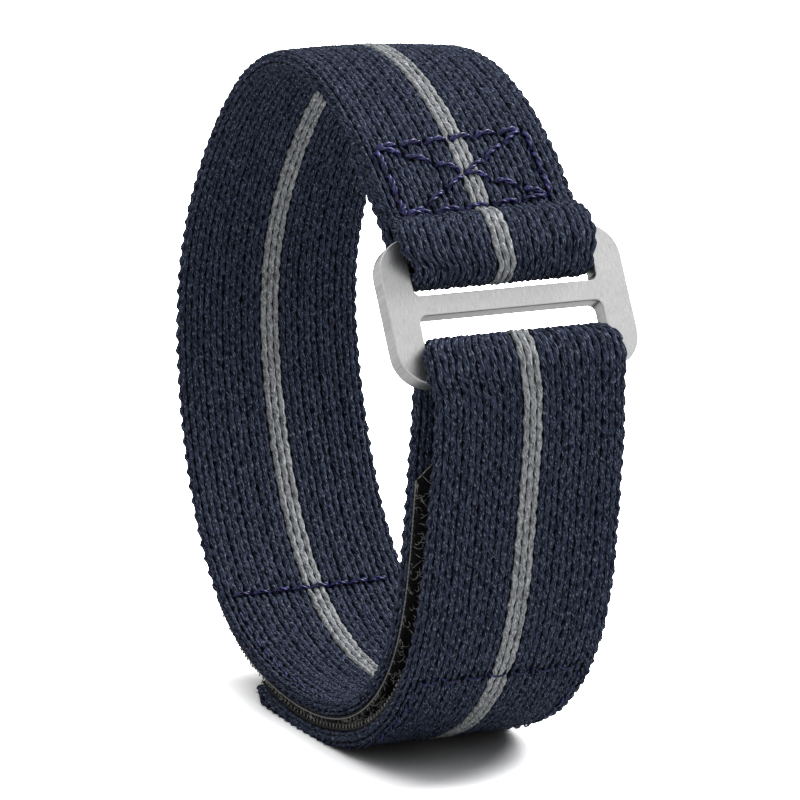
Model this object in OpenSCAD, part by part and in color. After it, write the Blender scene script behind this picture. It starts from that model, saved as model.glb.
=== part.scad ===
// Woven watch strap that closes with hook and loop tape through a flat frame buckle.
// Side views are drawn in an X-Z plane with the middle of the wrist loop at [0, 0].
// Angles there are seen from that middle: 0 points to the front, 90 points up.
// The strap then stands on Z = 0, with the middle of its box on the Z axis.

/* [Webbing] */
// Width of the woven webbing
webbing_w = 20; // [18:0.5:24]
// Thickness of the webbing
webbing_t = 1.7; // [1.3:0.1:2]
// Width of the stripe woven along the middle
stripe_w = 2; // [1:0.5:5]
// Depth of the stripe's yarns in each face
stripe_depth = 0.2; // [0.1:0.05:0.3]
// Depth pressed flat where the strap stands
rest_depth = 0.5; // [0.3:0.1:0.7]

/* [Wrist loop] */
// Mean radius of the webbing's middle line
loop_r = 31; // [29:0.5:36]
// How much longer the loop is than wide, as a change of radius
oval = 1.65; // [0:0.05:2.2]
// Direction of the loop's long way
oval_at = 86; // [70:1:100]
// How far the loop bulges in three directions, as a change of radius
egg = 0.43; // [0:0.05:0.8]
// The first of those directions
egg_at = 59; // [50:1:70]
// How far the loop bulges in four directions, as a change of radius
squareness = 0.3; // [0:0.05:0.5]
// The first of those directions
square_at = 31; // [20:1:45]
// How far the fabric flattens beside the buckle and bulges past it
buckle_pull = 0.53; // [0:0.05:0.7]
// Direction of the bulge above the buckle
pull_at = 23; // [15:1:35]

/* [Buckle] */
// Clear width of each slot
slot_w = 19.5; // [18:0.5:24]
// Clear height of the upper slot, round whose bar the band is sewn
upper_slot_h = 3.9; // [3.8:0.1:4.6]
// Clear height of the lower slot, which the tail is threaded through
lower_slot_h = 4.9; // [4.6:0.1:6]
// Height of the upper and the lower bar
bar_h = 1.95; // [1.75:0.05:2.1]
// Height of the middle bar
middle_bar_h = 2.1; // [1.8:0.1:3]
// Width of each side bar
side_bar_w = 3.1; // [2:0.1:4]
// Thickness of the plate
plate_t = 2.1; // [1.5:0.1:2.3]
// Radius of the plate's corners
plate_corner_r = 3.5; // [2:0.1:5]
// Radius in the corners of the slots
slot_corner_r = 0.8; // [0.5:0.1:1.2]
// Width of the polished edge on both faces
edge_w = 0.3; // [0.15:0.05:0.5]
// Direction of the middle bar from the middle of the loop
buckle_at = 25.6; // [22:0.2:30]
// Gap from the loop's middle line to the middle of that bar
buckle_standoff = 0.9; // [0.5:0.1:1.5]
// How far the plate leans back from facing straight out
buckle_lean = 4; // [0:0.5:8]

/* [Sewn fold] */
// Gap between the inside of the fold and the corners of the upper bar
fold_gap = 0.45; // [0.35:0.05:0.6]
// How far the fold hangs below the bar's middle
fold_drop = 0.8; // [0.2:0.05:0.9]
// How far the fold's middle lies in front of the plate's middle
fold_lift = 0.4; // [0.1:0.05:0.4]
// Direction of the end of the sewn layer, under the top of the loop
fold_end_at = 62; // [58:1:72]
// Directions of the two cross rows of the box stitch
box_at = [45, 58]; // [45:1:60]
// Gap left between two sewn layers
sewn_gap = 0.05; // [0.02:0.01:0.1]
// Gap between the webbing and each end of a slot
slot_side_gap = 0.3; // [0.2:0.05:0.5]

/* [Tail] */
// Gap between the inside of the tail's turn and the corners of the lower bar
wrap_gap = 0.15; // [0.1:0.05:0.3]
// How far that turn stands above the bar's middle, and in front of it
wrap_rise = [0.55, 0.2]; // [0:0.05:0.8]
// Directions where the tail's stiff lengths begin, then its end
tail_at = [4, -24, -50, -74, -106]; // [-115:1:8]
// Distance of the tail's middle line from the loop's, beside the buckle
tail_stand_off = 5.6; // [5:0.1:7]
// Directions between which the tail comes to lie on the loop
closing_at = [-22, -78]; // [-85:1:-10]
// Gap at each bend between two lengths of the tail
bend_gap = 0.2; // [0.1:0.05:0.3]
// Gap between the buckle's length of webbing and the loop's front end
leg_gap = 0.4; // [0.3:0.1:0.8]

/* [Hook and loop tape] */
// Width of both tapes
tape_w = 19; // [14:0.5:19.5]
// Thickness of the loop tape's backing
loop_back_t = 0.25; // [0.2:0.05:0.35]
// Height of its pile
pile_t = 0.4; // [0.3:0.05:0.6]
// Thickness of the hook tape's backing
hook_back_t = 0.2; // [0.15:0.05:0.3]
// Height of its hooks
hooks_t = 0.3; // [0.2:0.05:0.5]
// Room between the pile and the hooks where they are closed
grip_gap = 0.12; // [0.1:0.01:0.2]
// Directions of the two ends of the loop tape
loop_tape_at = [-4, -125]; // [-130:1:0]
// Direction of the upper end of the hook tape
hook_tape_at = -42; // [-50:1:-30]
// Plain edge of each backing round its pile or hooks
tape_edge = 0.7; // [0.4:0.1:1.2]

/* [Stitching] */
// Diameter of the box stitch's and the loop tape's thread
thick_thread = 0.55; // [0.4:0.05:0.7]
// Diameter of the hook tape's thread
thin_thread = 0.32; // [0.2:0.02:0.45]
// Length of one box stitch with its gap
box_stitch = 2.6; // [2:0.1:3.2]
// Length of one tape stitch with its gap
tape_stitch = 2.2; // [1.6:0.1:3]
// Share of that length that shows as thread
stitch_share = 0.8; // [0.6:0.05:0.9]
// Distance of the edge rows from the webbing's edge
edge_row = 1.2; // [0.8:0.1:2]

/* [Hidden] */

$fn = 32;
navy = [0.15, 0.18, 0.28];
grey = [0.57, 0.59, 0.61];
indigo = [0.2, 0.17, 0.38];
black = [0.06, 0.06, 0.07];
steel = [0.75, 0.75, 0.76];

// Steps in degrees of the curves that are drawn round the loop and round the bars
loop_step = 3;
bar_step = 15;
// Points of one blend between the loop and a bar
blend_points = 8;
// How far a cut runs past the face that it opens
past = 0.02;

half_t = webbing_t / 2;
buckle_w = slot_w + 2 * side_bar_w;
// Places down the plate's face, from the middle of its middle bar
upper_bar_s = -middle_bar_h / 2 - upper_slot_h - bar_h / 2;
lower_bar_s = middle_bar_h / 2 + lower_slot_h + bar_h / 2;
upper_slot_s = -(middle_bar_h + upper_slot_h) / 2;
lower_slot_s = (middle_bar_h + lower_slot_h) / 2;
buckle_h = lower_bar_s - upper_bar_s + bar_h;
buckle_s = (lower_bar_s + upper_bar_s) / 2;
bar_corner = norm([bar_h, plate_t]) / 2;
// The webbing is drawn in to this width where it passes through a slot
neck_w = slot_w - 2 * slot_side_gap;

// The loop's middle line is a circle with four gentle waves in its radius
function loop_radius(a) = loop_r + oval * cos(2 * (a - oval_at)) + egg * cos(3 * (a - egg_at))
    + squareness * cos(4 * (a - square_at)) + buckle_pull * cos(5 * (a - pull_at));
function loop_growth(a) = -2 * oval * sin(2 * (a - oval_at)) - 3 * egg * sin(3 * (a - egg_at))
    - 4 * squareness * sin(4 * (a - square_at)) - 5 * buckle_pull * sin(5 * (a - pull_at));
function ray(a) = [cos(a), sin(a)];
function loop_normal(a) = let (r = loop_radius(a), g = loop_growth(a))
    [g * sin(a) + r * cos(a), r * sin(a) - g * cos(a)] / norm([r, g]);
function loop_point(a, d = 0) = loop_radius(a) * ray(a) + d * loop_normal(a);
function turned_left(v) = [-v[1], v[0]];
function loop_along(a) = turned_left(loop_normal(a));

// Directions from one angle to another in about equal steps, both ends included
function sweep(from, to, step) = let (n = max(1, ceil(abs(to - from) / step)))
    [for (i = [0 : n]) from + (to - from) * i / n];
function bezier(p, q, r, s, n = blend_points) = [for (i = [0 : n]) let (t = i / n, u = 1 - t)
    u * u * u * p + 3 * u * u * t * q + 3 * u * t * t * r + t * t * t * s];
function ease(t) = let (c = min(1, max(0, t))) c * c * (3 - 2 * c);
function without_last(p) = [for (i = [0 : len(p) - 2]) p[i]];

// The plate: its middle, its outward direction and the direction down its face
face_at = buckle_at + buckle_lean;
plate_out = ray(face_at);
plate_down = -turned_left(plate_out);
plate_middle = (loop_radius(buckle_at) + buckle_standoff) * ray(buckle_at);
upper_bar = plate_middle + upper_bar_s * plate_down;
lower_bar = plate_middle + lower_bar_s * plate_down;

// The band's middle line: sewn layer, fold round the upper bar, then once round the wrist
fold_middle = upper_bar + fold_drop * plate_down + fold_lift * plate_out;
fold_mid_r = bar_corner + fold_gap + half_t;
fold_turn = [for (a = sweep(face_at - 180, face_at, bar_step)) fold_middle + fold_mid_r * ray(a)];
// How far round the loop each blend reaches, in degrees past its bar
top_reach = 8;
layer_reach = 7;
leg_reach = 18;
top_at = atan2(upper_bar[1], upper_bar[0]) + top_reach;
// How strongly each end of a blend keeps its direction: at the fold, then on the loop
top_pull = [3.8, 2.9];
layer_pull = [1.2, 1.6];
top_blend = bezier(fold_middle + fold_mid_r * plate_out,
    fold_middle + fold_mid_r * plate_out - top_pull[0] * plate_down,
    loop_point(top_at) - top_pull[1] * loop_along(top_at), loop_point(top_at));
layer_d = -webbing_t - sewn_gap;
layer_at = atan2(upper_bar[1], upper_bar[0]) + layer_reach;
sewn_layer = [for (a = sweep(fold_end_at, layer_at, loop_step)) loop_point(a, layer_d)];
layer_blend = bezier(loop_point(layer_at, layer_d),
    loop_point(layer_at, layer_d) - layer_pull[1] * loop_along(layer_at),
    fold_middle - fold_mid_r * plate_out - layer_pull[0] * plate_down,
    fold_middle - fold_mid_r * plate_out);

// The front end of the band stops just below the lower bar
wrap_mid_r = bar_corner + wrap_gap + half_t;
wrap_middle = lower_bar - wrap_rise[0] * plate_down + [wrap_rise[1], 0];
wrap_in = wrap_middle - [wrap_mid_r, 0];
wrap_out = wrap_middle + [wrap_mid_r, 0];
leg_at = atan2(lower_bar[1], lower_bar[0]) - leg_reach;
leg_pull = 3;
drop_pull = 2;
leg_rise = bezier(loop_point(leg_at), loop_point(leg_at) + leg_pull * loop_along(leg_at),
    wrap_in - [0, leg_pull], wrap_in);
leg_split = 3;
function upto(p, n) = [for (i = [0 : n]) p[i]];
function beyond(p, n) = [for (i = [n : len(p) - 1]) p[i]];

round_wrist = [for (a = sweep(top_at, leg_at + 360, loop_step)) loop_point(a)];
band_line = concat(without_last(sewn_layer), without_last(layer_blend), without_last(fold_turn),
    without_last(top_blend), without_last(round_wrist), upto(leg_rise, leg_split));

// The tail's middle line lies outside the loop's and closes in on it towards its end
closed_d = webbing_t + loop_back_t + pile_t + grip_gap + hooks_t + hook_back_t;
function tail_d(a) = closed_d + (tail_stand_off - closed_d)
    * ease((a - closing_at[1]) / (closing_at[0] - closing_at[1]));
function tail_point(a) = loop_point(a, tail_d(a));
tail_drop = bezier(wrap_out, wrap_out - [0, drop_pull],
    tail_point(tail_at[0]) + drop_pull * loop_along(tail_at[0]), tail_point(tail_at[0]));
wrap_turn = [for (a = sweep(180, 0, bar_step)) wrap_middle + wrap_mid_r * ray(a)];
wrap_line = concat(without_last(beyond(leg_rise, leg_split)), without_last(wrap_turn), tail_drop);
function tail_line(from, to) = [for (a = sweep(from, to, loop_step)) tail_point(a)];

// Outward normals of a line of points whose outer face is on its right or its left
function line_normal(p, i, side) = let (a = p[max(0, i - 1)], b = p[min(len(p) - 1, i + 1)])
    -side * turned_left((b - a) / norm(b - a));
function shifted(p, d, side) = [for (i = [0 : len(p) - 1]) p[i] + d * line_normal(p, i, side)];
function reversed(p) = [for (i = [len(p) - 1 : -1 : 0]) p[i]];
function ribbon(p, low, high, side) = concat(shifted(p, low, side), reversed(shifted(p, high, side)));
// The same line with a length taken off each end
function trimmed(p, start, end) = let (n = len(p) - 1,
        s = (p[1] - p[0]) / norm(p[1] - p[0]), e = (p[n - 1] - p[n]) / norm(p[n - 1] - p[n]))
    [for (i = [0 : n]) i == 0 ? p[0] + start * s : i == n ? p[n] + end * e : p[i]];

// The lines that are used by more than one sub-part; band runs counter-clockwise, tail clockwise
band_side = 1;
tail_side = -1;
tail_lines = [for (i = [0 : len(tail_at) - 2])
    trimmed(tail_line(tail_at[i], tail_at[i + 1]), bend_gap / 2, i == len(tail_at) - 2 ? 0 : bend_gap / 2)];
wrap_trimmed = trimmed(wrap_line, leg_gap, bend_gap / 2);

// The box of the whole strap in the side view, so that it stands on Z = 0 over the origin
corners = concat(shifted(band_line, half_t, band_side), shifted(wrap_line, half_t, band_side),
    [for (line = tail_lines) each shifted(line, half_t, tail_side)]);
xs = [for (p = corners) p[0]];
zs = [for (p = corners) p[1]];
middle_x = (min(xs) + max(xs)) / 2;
floor_z = min(zs) + rest_depth;

// Draws a side view shape upright, w wide across the strap and centred on y
module across(w, y = 0) {
    translate([-middle_x, y + w / 2, -floor_z]) rotate([90, 0, 0]) linear_extrude(height = w) children();
}
module strip(line, low, high, w, side, y = 0) {
    across(w, y) polygon(ribbon(line, low, high, side));
}

// Takes the webbing's edges in where it passes through a slot of the buckle
module neck(at_s) {
    flat = 2.6;
    long = 8.2;
    deep = 8;
    m = plate_middle + at_s * plate_down;
    for (side = [-1, 1])
        translate([m[0] - middle_x, 0, m[1] - floor_z]) rotate([0, 90 - face_at, 0])
            linear_extrude(height = 2 * deep, center = true)
                polygon([[-long, side * webbing_w / 2], [-flat, side * neck_w / 2],
                    [flat, side * neck_w / 2], [long, side * webbing_w / 2],
                    [long, side * webbing_w], [-long, side * webbing_w]]);
}
upper_neck_s = upper_bar_s + fold_drop + fold_mid_r;
lower_neck_s = lower_bar_s - wrap_rise[0] - wrap_mid_r;

// Takes away what would reach below the surface that the strap stands on
module above_ground() {
    difference() {
        children();
        translate([-2 * loop_r, -webbing_w, -webbing_w]) cube([4 * loop_r, 2 * webbing_w, webbing_w]);
    }
}

module webbing(line, side) {
    color(navy) difference() {
        strip(line, -half_t, half_t, webbing_w, side);
        strip(line, half_t - stripe_depth, half_t + past, stripe_w, side);
        strip(line, -half_t - past, -half_t + stripe_depth, stripe_w, side);
    }
}
module stripe_outer(line, side) {
    color(grey) strip(line, half_t - stripe_depth, half_t, stripe_w, side);
}
module stripe_inner(line, side) {
    color(grey) strip(line, -half_t, -half_t + stripe_depth, stripe_w, side);
}

// One stitch, from one point to another
module stitch(p, q, d) {
    v = q - p;
    translate(p) rotate([0, acos(v[2] / norm(v)), atan2(v[1], v[0])])
        cylinder(h = norm(v), d = d, $fn = 16);
}
function upright(p, y) = [p[0] - middle_x, y, p[1] - floor_z];
// A row of stitches from [angle, y] to [angle, y], a distance d off the loop's middle line
module loop_row(from, to, d, thread, pitch) {
    long = norm([(to[0] - from[0]) * PI / 180 * loop_r, to[1] - from[1]]);
    n = round(long / pitch);
    rest = (1 - stitch_share) / 2;
    for (i = [0 : n - 1]) {
        a = from + (to - from) * (i + rest) / n;
        b = from + (to - from) * (i + 1 - rest) / n;
        stitch(upright(loop_point(a[0], d), a[1]), upright(loop_point(b[0], d), b[1]), thread);
    }
}
// The same on the tail's outer face, without the stitches that are pressed flat under it
module tail_row(from, to, thread, pitch) {
    long = norm([(to[0] - from[0]) * PI / 180 * loop_r, to[1] - from[1]]);
    n = round(long / pitch);
    rest = (1 - stitch_share) / 2;
    off = half_t + thread / 2 + seat;
    for (i = [0 : n - 1]) {
        a = from + (to - from) * (i + rest) / n;
        b = from + (to - from) * (i + 1 - rest) / n;
        p = upright(loop_point(a[0], tail_d(a[0]) + off), a[1]);
        q = upright(loop_point(b[0], tail_d(b[0]) + off), b[1]);
        if (min(p[2], q[2]) > thread) stitch(p, q, thread);
    }
}
// Room that keeps a straight stitch off the curve that it lies on
seat = 0.05;
row_y = webbing_w / 2 - edge_row;

module band_webbing() {
    difference() {
        webbing(band_line, band_side);
        neck(upper_neck_s);
        neck(lower_neck_s);
    }
}
module band_stripe_outer() { stripe_outer(band_line, band_side); }
module band_stripe_inner() { stripe_inner(band_line, band_side); }

module box_stitching() {
    outer_d = half_t + thick_thread / 2 + seat;
    inner_d = layer_d - half_t - thick_thread / 2 - seat;
    color(indigo) for (d = [outer_d, inner_d]) {
        loop_row([box_at[0], -row_y], [box_at[0], row_y], d, thick_thread, box_stitch);
        loop_row([box_at[1], -row_y], [box_at[1], row_y], d, thick_thread, box_stitch);
        loop_row([box_at[0], -row_y], [box_at[1], -row_y], d, thick_thread, box_stitch);
        loop_row([box_at[0], row_y], [box_at[1], row_y], d, thick_thread, box_stitch);
        loop_row([box_at[0], -row_y], [box_at[1], row_y], d, thick_thread, box_stitch);
        loop_row([box_at[0], row_y], [box_at[1], -row_y], d, thick_thread, box_stitch);
    }
}

function loop_arc(from, to) = [for (a = sweep(from, to, loop_step)) loop_point(a)];
module loop_tape_backing() {
    color(black) strip(loop_arc(loop_tape_at[1], loop_tape_at[0]), half_t + seat,
        half_t + loop_back_t, tape_w, band_side);
}
module loop_tape_pile() {
    color(black) strip(trimmed(loop_arc(loop_tape_at[1], loop_tape_at[0]), tape_edge, tape_edge),
        half_t + loop_back_t, half_t + loop_back_t + pile_t, tape_w - 2 * tape_edge, band_side);
}
module loop_tape_end_stitching() {
    inner_d = -half_t - thick_thread / 2 - seat;
    inset = 1.5;
    color(indigo) for (a = [loop_tape_at[0] - inset, loop_tape_at[1] + inset])
        loop_row([a, -row_y], [a, row_y], inner_d, thick_thread, tape_stitch);
}
module loop_tape_edge_stitching() {
    inner_d = -half_t - thin_thread / 2 - seat;
    inset = 4;
    color(indigo) for (y = [-row_y, row_y])
        loop_row([loop_tape_at[1] + inset, y], [loop_tape_at[0] - inset, y], inner_d,
            thin_thread, tape_stitch);
}

module rounded_slab(w, h, t, r) {
    linear_extrude(height = t, center = true) {
        square([w - 2 * r, h], center = true);
        square([w, h - 2 * r], center = true);
        for (x = [-1, 1], y = [-1, 1]) translate([x * (w / 2 - r), y * (h / 2 - r)]) circle(r = r);
    }
}
module buckle_frame() {
    m = plate_middle;
    color(steel) translate([m[0] - middle_x, 0, m[1] - floor_z]) rotate([0, 90 - face_at, 0])
        rotate([0, 0, -90]) difference() {
            translate([0, buckle_s]) {
                rounded_slab(buckle_w, buckle_h, plate_t - 2 * edge_w, plate_corner_r);
                rounded_slab(buckle_w - 2 * edge_w, buckle_h - 2 * edge_w, plate_t,
                    plate_corner_r - edge_w);
            }
            translate([0, upper_slot_s]) rounded_slab(slot_w, upper_slot_h, 2 * plate_t, slot_corner_r);
            translate([0, lower_slot_s]) rounded_slab(slot_w, lower_slot_h, 2 * plate_t, slot_corner_r);
        }
}

module wrap_webbing() {
    difference() {
        webbing(wrap_trimmed, band_side);
        neck(lower_neck_s);
    }
}
module wrap_stripe_outer() { stripe_outer(wrap_trimmed, band_side); }
module wrap_stripe_inner() { stripe_inner(wrap_trimmed, band_side); }

module tail_webbing(i) {
    above_ground() webbing(tail_lines[i - 1], tail_side);
}
module tail_stripe_outer(i) {
    above_ground() stripe_outer(tail_lines[i - 1], tail_side);
}
module tail_stripe_inner(i) { stripe_inner(tail_lines[i - 1], tail_side); }

// The hook tape's line in one length of the tail, with the ends taken in
function hook_line(i, end_in) = let (
        from = min(tail_at[i - 1], hook_tape_at), to = tail_at[i],
        top_in = from == hook_tape_at ? end_in : bend_gap / 2,
        low_in = i == len(tail_at) - 1 ? end_in : bend_gap / 2)
    trimmed(tail_line(from, to), top_in, low_in);
module hook_tape_backing(i) {
    color(black) strip(hook_line(i, 0), -half_t - hook_back_t, -half_t - seat, tape_w, tail_side);
}
module hook_tape_hooks(i) {
    color(black) strip(hook_line(i, tape_edge), -half_t - hook_back_t - hooks_t,
        -half_t - hook_back_t, tape_w - 2 * tape_edge, tail_side);
}
module hook_tape_stitching(i) {
    inset = 1.5;
    from = min(tail_at[i - 1], hook_tape_at) - inset;
    to = tail_at[i] + inset;
    color(indigo) {
        for (y = [-row_y, row_y]) tail_row([from, y], [to, y], thin_thread, tape_stitch);
        if (tail_at[i - 1] > hook_tape_at)
            tail_row([hook_tape_at, -row_y], [hook_tape_at, row_y], thin_thread, tape_stitch);
        if (i == len(tail_at) - 1) tail_row([to, -row_y], [to, row_y], thin_thread, tape_stitch);
    }
}

band_webbing();
band_stripe_outer();
band_stripe_inner();
box_stitching();
loop_tape_backing();
loop_tape_pile();
loop_tape_end_stitching();
loop_tape_edge_stitching();
buckle_frame();
wrap_webbing();
wrap_stripe_outer();
wrap_stripe_inner();
tail_webbing(1);  // tail_1_webbing
tail_stripe_outer(1);  // tail_1_stripe_outer
tail_stripe_inner(1);  // tail_1_stripe_inner
tail_webbing(2);  // tail_2_webbing
tail_stripe_outer(2);  // tail_2_stripe_outer
tail_stripe_inner(2);  // tail_2_stripe_inner
tail_webbing(3);  // tail_3_webbing
tail_stripe_outer(3);  // tail_3_stripe_outer
tail_stripe_inner(3);  // tail_3_stripe_inner
tail_webbing(4);  // tail_4_webbing
tail_stripe_outer(4);  // tail_4_stripe_outer
tail_stripe_inner(4);  // tail_4_stripe_inner
hook_tape_backing(2);  // hook_tape_backing_2
hook_tape_backing(3);  // hook_tape_backing_3
hook_tape_backing(4);  // hook_tape_backing_4
hook_tape_hooks(2);  // hook_tape_hooks_2
hook_tape_hooks(3);  // hook_tape_hooks_3
hook_tape_hooks(4);  // hook_tape_hooks_4
hook_tape_stitching(2);  // hook_tape_stitching_2
hook_tape_stitching(3);  // hook_tape_stitching_3
hook_tape_stitching(4);  // hook_tape_stitching_4
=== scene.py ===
import math

import bmesh
import bpy
import numpy as np
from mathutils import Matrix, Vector


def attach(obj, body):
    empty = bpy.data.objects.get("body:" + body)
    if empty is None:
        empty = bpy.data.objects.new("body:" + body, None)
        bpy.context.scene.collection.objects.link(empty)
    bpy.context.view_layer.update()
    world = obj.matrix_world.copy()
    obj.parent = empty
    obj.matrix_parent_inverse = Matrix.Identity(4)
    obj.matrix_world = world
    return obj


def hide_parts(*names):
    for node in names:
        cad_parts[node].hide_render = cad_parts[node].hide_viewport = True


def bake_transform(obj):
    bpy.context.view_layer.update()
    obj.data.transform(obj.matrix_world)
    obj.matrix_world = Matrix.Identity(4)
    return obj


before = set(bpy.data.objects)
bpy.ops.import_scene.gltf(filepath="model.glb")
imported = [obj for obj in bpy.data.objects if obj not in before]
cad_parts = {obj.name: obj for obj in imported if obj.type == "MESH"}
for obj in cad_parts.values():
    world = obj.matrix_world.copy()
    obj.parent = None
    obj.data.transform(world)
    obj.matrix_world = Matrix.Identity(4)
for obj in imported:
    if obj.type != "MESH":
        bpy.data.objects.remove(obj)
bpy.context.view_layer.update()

# The camera. It stands where the photograph was taken from, about 65 cm away with a long lens,
# a little above the buckle and to the left of it, and looks at the middle of the wrist loop.
camera = bpy.data.objects.new("camera", bpy.data.cameras.new("camera"))
bpy.context.scene.collection.objects.link(camera)
bpy.context.scene.camera = camera
camera.data.sensor_width = 36
camera.data.lens = 289.6
camera.data.clip_start, camera.data.clip_end = 0.05, 20
camera.location = (0.57818, -0.26206, 0.17937)
aim = Vector((0.00182, 0, 0.03407))
camera.rotation_euler = (aim - camera.location).to_track_quat("-Z", "Y").to_euler()

# The webbing: one strip of polyester, woven 20 mm wide from navy warp cords with three grey ones
# along the middle of each face. One end is folded round the buckle's upper bar and sewn back, and
# the strip then goes round the wrist, over the buckle's lower bar and back outside as the tail.
mm = 0.001
webbing_w, webbing_t = 20.0, 1.7
half_t = webbing_t / 2

# The wrist loop in the side view is a circle with waves: each its height, its count and its crest.
loop_r = 31.0
loop_waves = ((1.65, 2, 86), (0.43, 3, 59), (0.3, 4, 31), (0.53, 5, 23))
loop_middle = np.array([-2.2385, 35.338])


def ray(a):
    """An arrow in the side view: 0 degrees is the front, and 90 is up."""
    return np.array([math.cos(math.radians(a)), math.sin(math.radians(a))])


def loop_normal(a):
    """The arrow out of the loop at an angle, and the loop's radius there."""
    r = loop_r + sum(h * math.cos(math.radians(n * (a - at))) for h, n, at in loop_waves)
    g = sum(-n * h * math.sin(math.radians(n * (a - at))) for h, n, at in loop_waves)
    c, s = ray(a)
    return np.array([g * s + r * c, r * s - g * c]) / math.hypot(r, g), r


def loop_point(a, d=0.0):
    normal, r = loop_normal(a)
    return r * ray(a) + d * normal


def loop_along(a):
    normal, _ = loop_normal(a)
    return np.array([-normal[1], normal[0]])


def sweep(start, end, step):
    return np.linspace(start, end, max(2, int(abs(end - start) / step) + 1))


def free_bend(start, start_way, end, end_way, pulls):
    """A smooth bend between two places; at each end it runs straight on as far as it is pulled."""
    p, q, r, s = start, start + pulls[0] * start_way, end - pulls[1] * end_way, end
    t = np.linspace(0, 1, 48)[:, None]
    return (1 - t) ** 3 * p + 3 * (1 - t) ** 2 * t * q + 3 * (1 - t) * t ** 2 * r + t ** 3 * s


# The plate of the buckle stands in the side view where the fold and the tail's turn go round it.
plate_t, bar_h, middle_bar_h = 2.1, 1.95, 2.1
upper_slot_h, lower_slot_h = 3.9, 4.9
plate_at, plate_stand_off, face_at = 25.6, 0.9, 29.6
plate_out = ray(face_at)
plate_down = np.array([plate_out[1], -plate_out[0]])
plate_middle = (loop_normal(plate_at)[1] + plate_stand_off) * ray(plate_at)
upper_bar_s = -(middle_bar_h + bar_h) / 2 - upper_slot_h
lower_bar_s = (middle_bar_h + bar_h) / 2 + lower_slot_h
upper_bar = plate_middle + upper_bar_s * plate_down
lower_bar = plate_middle + lower_bar_s * plate_down
bar_corner = math.hypot(bar_h, plate_t) / 2

# The fold and the turn go round their bars with room to swing, a little off each bar's middle.
fold_room, fold_thin, fold_below, fold_before = 0.32, 0.9, 0.75, 0.2
fold_r = bar_corner + fold_room + fold_thin * half_t
fold_middle = upper_bar + fold_below * plate_down + fold_before * plate_out
turn_room, turn_above, turn_before = 0.15, 0.55, 0.2
turn_r = bar_corner + turn_room + half_t
turn_middle = lower_bar - turn_above * plate_down + np.array([turn_before, 0])
turn_in, turn_out = turn_middle - [turn_r, 0], turn_middle + [turn_r, 0]

# The angles where the loop starts at its top and ends at the leg, and where the sewn layer lies.
top_reach, layer_short, leg_reach, layer_end_at, layer_gap = 8, 1, 18, 62, 0.05
top_at = math.degrees(math.atan2(upper_bar[1], upper_bar[0])) + top_reach
layer_at, layer_d = top_at - layer_short, -webbing_t - layer_gap
leg_at = math.degrees(math.atan2(lower_bar[1], lower_bar[0])) - leg_reach

# The tail's bends and its end. It stands off the loop at its top and lies close to it at its foot.
tail_at = (4, -24, -50, -74, -106)
closed_d, tail_stand_off, tail_lies_at, tail_stands_at = 2.97, 5.6, -78, -22


def tail_d(a):
    t = min(1, max(0, (a - tail_lies_at) / (tail_stands_at - tail_lies_at)))
    return closed_d + (tail_stand_off - closed_d) * t * t * (3 - 2 * t)


def tail_point(a):
    return loop_point(a, tail_d(a))


# The strip's side line in its order: sewn layer, fold, wrist loop, leg, turn over the bar, tail.
layer_pulls, fold_pulls, leg_pulls, tail_pulls = (1.6, 1.2), (3.8, 2.6), (3, 3), (2, 2)
layer_start = loop_point(layer_at, layer_d)
fold_in, fold_out = fold_middle - fold_r * plate_out, fold_middle + fold_r * plate_out
up = np.array([0, 1])
layer_angles = sweep(layer_end_at, layer_at, 0.5)
loop_angles = sweep(top_at, leg_at + 360, 0.5)
tail_angles = sweep(tail_at[0], tail_at[-1], 0.5)
stretches = [
    np.array([loop_point(a, layer_d) for a in layer_angles]),
    free_bend(layer_start, -loop_along(layer_at), fold_in, plate_down, layer_pulls),
    np.array([fold_middle + fold_r * ray(a) for a in sweep(face_at - 180, face_at, 4)]),
    free_bend(fold_out, -plate_down, loop_point(top_at), loop_along(top_at), fold_pulls),
    np.array([loop_point(a) for a in loop_angles]),
    free_bend(loop_point(leg_at), loop_along(leg_at), turn_in, up, leg_pulls),
    np.array([turn_middle + turn_r * ray(a) for a in sweep(180, 0, 4)]),
    free_bend(turn_out, -up, tail_point(tail_at[0]), -loop_along(tail_at[0]), tail_pulls),
    np.array([tail_point(a) for a in tail_angles]),
]
route = np.vstack([part[:-1] for part in stretches[:-1]] + [stretches[-1]])
run = np.concatenate([[0], np.cumsum(np.hypot(*np.diff(route, axis=0).T))])
firsts = np.cumsum([0] + [len(part) - 1 for part in stretches[:-1]])
strip_length = run[-1]


def on_loop(a):
    """How far along the strip the wrist loop passes an angle; the fold's top counts as loop."""
    low, high = firsts[3], firsts[5]
    angles = np.unwrap(np.arctan2(route[low:high, 1], route[low:high, 0]))
    return float(np.interp(math.radians(a % 360), angles, run[low:high]))


def on_tail(a):
    """How far along the strip the tail passes an angle."""
    return float(np.interp(-a, -tail_angles, run[firsts[8]:]))


def on_layer(a):
    """The same for the layer that is sewn on inside, which runs from its end up to the fold."""
    angles = np.degrees(np.arctan2(route[:firsts[2], 1], route[:firsts[2], 0]))
    return float(np.interp(-a, -angles, run[:firsts[2]]))


def soft_step(value, low, high):
    """Rises smoothly from 0 where the value is low to 1 where it is high."""
    t = np.clip((value - low) / (high - low), 0, 1)
    return t * t * (3 - 2 * t)


# How the strip sits in the buckle: shares of its width that it is drawn in by in a slot and spread
# by in front of a bar, how far it has slid to the left, and its room for the swing of the buckle.
slot_draw, fold_spread, turn_spread = 0.055, 0.03, 0.05
fold_slip, turn_slip, swing_room = 0.5, 0.35, 0.36


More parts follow.
